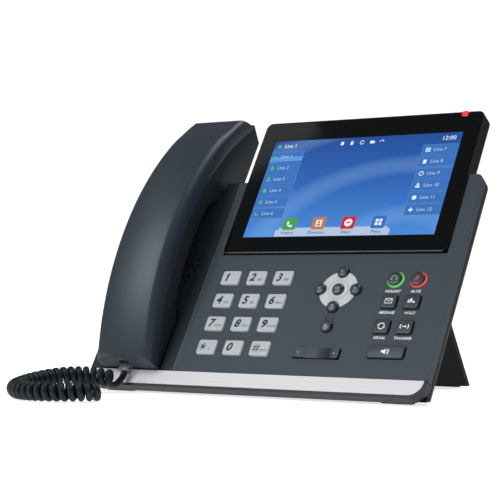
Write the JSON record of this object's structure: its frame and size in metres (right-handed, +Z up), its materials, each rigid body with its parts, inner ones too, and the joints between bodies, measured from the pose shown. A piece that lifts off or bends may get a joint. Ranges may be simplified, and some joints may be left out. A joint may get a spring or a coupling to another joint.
{
  "type": "desk telephone",
  "caption": "Desk telephone with a tilted face, large touch screen, dial and function keys, navigation pad, volume rocker, cradled handset, curly cord and rear stand.",
  "frame": {"origin": "centre of the bounding box on the desk, measured without the cord and its plugs", "axes": "+X to the user's right, the face looks towards -Y, +Z up"},
  "size_m": [0.2903, 0.292, 0.2022],
  "materials": {
    "slate": "fine matte",
    "dark": "satin",
    "silver": "brushed along its length",
    "pale_key": "satin",
    "pale_plate": "satin",
    "charcoal": "glossy",
    "black_glass": "polished",
    "display": "lit",
    "red_lens": "clear tinted",
    "green_lens": "clear tinted",
    "mat_rubber": "matte",
    "board": "satin",
    "black_rubber": "matte",
    "steel": "plated",
    "cord": "satin",
    "clear": "clear"
  },
  "bodies": {
    "base": {"front_panel": "slate", "lower_trim": "dark", "silver_band": "silver", "handset_cradle": "slate", "rear_housing": "dark", "screen_frame": "dark", "touch_glass": "black_glass", "lcd_panel": "display", "screen_back_cover": "dark", "message_lamp": "red_lens", "nav_plate": "pale_plate", "headset_light": "green_lens", "mute_light": "red_lens", "keypad_mat": "mat_rubber", "main_board": "board", "handsfree_speaker": "dark", "foot_stand": "dark", "rubber_feet": "black_rubber", "housing_screws": "steel", "connector_bay": "dark", "network_jacks": "dark", "cord_jacks": "dark", "power_jack": "dark", "handset_cord": "cord", "cord_lead": "cord", "cord_plug_base": "clear"},
    "handset": {"handset_outer_shell": "slate", "handset_inner_shell": "dark", "ear_receiver": "dark", "microphone": "dark", "handset_weight": "steel", "handset_socket": "dark", "cord_plug_handset": "clear"},
    "hook": {"hook_switch": "dark"},
    "rocker": {"volume_rocker": "charcoal"},
    "key_one_body": {"key_one": "pale_key"},
    "key_two_body": {"key_two": "pale_key"},
    "key_three_body": {"key_three": "pale_key"},
    "key_four_body": {"key_four": "pale_key"},
    "key_five_body": {"key_five": "pale_key"},
    "key_six_body": {"key_six": "pale_key"},
    "key_seven_body": {"key_seven": "pale_key"},
    "key_eight_body": {"key_eight": "pale_key"},
    "key_nine_body": {"key_nine": "pale_key"},
    "key_star_body": {"key_star": "pale_key"},
    "key_zero_body": {"key_zero": "pale_key"},
    "key_hash_body": {"key_hash": "pale_key"},
    "nav_up_body": {"nav_up": "charcoal"},
    "nav_down_body": {"nav_down": "charcoal"},
    "nav_left_body": {"nav_left": "charcoal"},
    "nav_right_body": {"nav_right": "charcoal"},
    "ok_key_body": {"ok_key": "charcoal"},
    "cancel_key_body": {"cancel_key": "charcoal"},
    "headset_key_body": {"headset_key": "charcoal"},
    "mute_key_body": {"mute_key": "charcoal"},
    "message_key_body": {"message_key": "slate"},
    "hold_key_body": {"hold_key": "slate"},
    "redial_key_body": {"redial_key": "slate"},
    "transfer_key_body": {"transfer_key": "slate"},
    "speaker_key_body": {"speaker_key": "slate"}
  },
  "joints": [
    {"name": "handset_lift", "type": "slide", "parent": "base", "child": "handset", "axis": [0, -0.8453, 0.5344], "range_m": [0, 0.07], "deforming": ["handset_cord"]},
    {"name": "hook_slide", "type": "slide", "parent": "base", "child": "hook", "axis": [0, -0.8453, 0.5344], "range_m": [0, 0.004]},
    {"name": "volume_rock", "type": "hinge", "parent": "base", "child": "rocker", "pos_m": [0.0492, -0.06815, 0.02817], "axis": [0, 0.5344, 0.8453], "range_deg": [-4, 4], "stiffness_Nm_per_rad": 0.05},
    {"name": "key_one_press", "type": "slide", "parent": "base", "child": "key_one_body", "axis": [0, 0.8453, -0.5344], "range_m": [0, 0.0012], "stiffness_N_per_m": 800},
    {"name": "key_two_press", "type": "slide", "parent": "base", "child": "key_two_body", "axis": [0, 0.8453, -0.5344], "range_m": [0, 0.0012], "stiffness_N_per_m": 800},
    {"name": "key_three_press", "type": "slide", "parent": "base", "child": "key_three_body", "axis": [0, 0.8453, -0.5344], "range_m": [0, 0.0012], "stiffness_N_per_m": 800},
    {"name": "key_four_press", "type": "slide", "parent": "base", "child": "key_four_body", "axis": [0, 0.8453, -0.5344], "range_m": [0, 0.0012], "stiffness_N_per_m": 800},
    {"name": "key_five_press", "type": "slide", "parent": "base", "child": "key_five_body", "axis": [0, 0.8453, -0.5344], "range_m": [0, 0.0012], "stiffness_N_per_m": 800},
    {"name": "key_six_press", "type": "slide", "parent": "base", "child": "key_six_body", "axis": [0, 0.8453, -0.5344], "range_m": [0, 0.0012], "stiffness_N_per_m": 800},
    {"name": "key_seven_press", "type": "slide", "parent": "base", "child": "key_seven_body", "axis": [0, 0.8453, -0.5344], "range_m": [0, 0.0012], "stiffness_N_per_m": 800},
    {"name": "key_eight_press", "type": "slide", "parent": "base", "child": "key_eight_body", "axis": [0, 0.8453, -0.5344], "range_m": [0, 0.0012], "stiffness_N_per_m": 800},
    {"name": "key_nine_press", "type": "slide", "parent": "base", "child": "key_nine_body", "axis": [0, 0.8453, -0.5344], "range_m": [0, 0.0012], "stiffness_N_per_m": 800},
    {"name": "key_star_press", "type": "slide", "parent": "base", "child": "key_star_body", "axis": [0, 0.8453, -0.5344], "range_m": [0, 0.0012], "stiffness_N_per_m": 800},
    {"name": "key_zero_press", "type": "slide", "parent": "base", "child": "key_zero_body", "axis": [0, 0.8453, -0.5344], "range_m": [0, 0.0012], "stiffness_N_per_m": 800},
    {"name": "key_hash_press", "type": "slide", "parent": "base", "child": "key_hash_body", "axis": [0, 0.8453, -0.5344], "range_m": [0, 0.0012], "stiffness_N_per_m": 800},
    {"name": "nav_up_press", "type": "slide", "parent": "base", "child": "nav_up_body", "axis": [0, 0.8453, -0.5344], "range_m": [0, 0.0012], "stiffness_N_per_m": 800},
    {"name": "nav_down_press", "type": "slide", "parent": "base", "child": "nav_down_body", "axis": [0, 0.8453, -0.5344], "range_m": [0, 0.0012], "stiffness_N_per_m": 800},
    {"name": "nav_left_press", "type": "slide", "parent": "base", "child": "nav_left_body", "axis": [0, 0.8453, -0.5344], "range_m": [0, 0.0012], "stiffness_N_per_m": 800},
    {"name": "nav_right_press", "type": "slide", "parent": "base", "child": "nav_right_body", "axis": [0, 0.8453, -0.5344], "range_m": [0, 0.0012], "stiffness_N_per_m": 800},
    {"name": "ok_key_press", "type": "slide", "parent": "base", "child": "ok_key_body", "axis": [0, 0.8453, -0.5344], "range_m": [0, 0.0012], "stiffness_N_per_m": 800},
    {"name": "cancel_key_press", "type": "slide", "parent": "base", "child": "cancel_key_body", "axis": [0, 0.8453, -0.5344], "range_m": [0, 0.0012], "stiffness_N_per_m": 800},
    {"name": "headset_key_press", "type": "slide", "parent": "base", "child": "headset_key_body", "axis": [0, 0.8453, -0.5344], "range_m": [0, 0.0012], "stiffness_N_per_m": 800},
    {"name": "mute_key_press", "type": "slide", "parent": "base", "child": "mute_key_body", "axis": [0, 0.8453, -0.5344], "range_m": [0, 0.0012], "stiffness_N_per_m": 800},
    {"name": "message_key_press", "type": "slide", "parent": "base", "child": "message_key_body", "axis": [0, 0.8453, -0.5344], "range_m": [0, 0.0012], "stiffness_N_per_m": 800},
    {"name": "hold_key_press", "type": "slide", "parent": "base", "child": "hold_key_body", "axis": [0, 0.8453, -0.5344], "range_m": [0, 0.0012], "stiffness_N_per_m": 800},
    {"name": "redial_key_press", "type": "slide", "parent": "base", "child": "redial_key_body", "axis": [0, 0.8453, -0.5344], "range_m": [0, 0.0012], "stiffness_N_per_m": 800},
    {"name": "transfer_key_press", "type": "slide", "parent": "base", "child": "transfer_key_body", "axis": [0, 0.8453, -0.5344], "range_m": [0, 0.0012], "stiffness_N_per_m": 800},
    {"name": "speaker_key_press", "type": "slide", "parent": "base", "child": "speaker_key_body", "axis": [0, 0.8453, -0.5344], "range_m": [0, 0.0012], "stiffness_N_per_m": 800}
  ],
  "couplings": [
    {"joint": "hook_slide", "follows": "handset_lift", "ratio": 0.057}
  ]
}
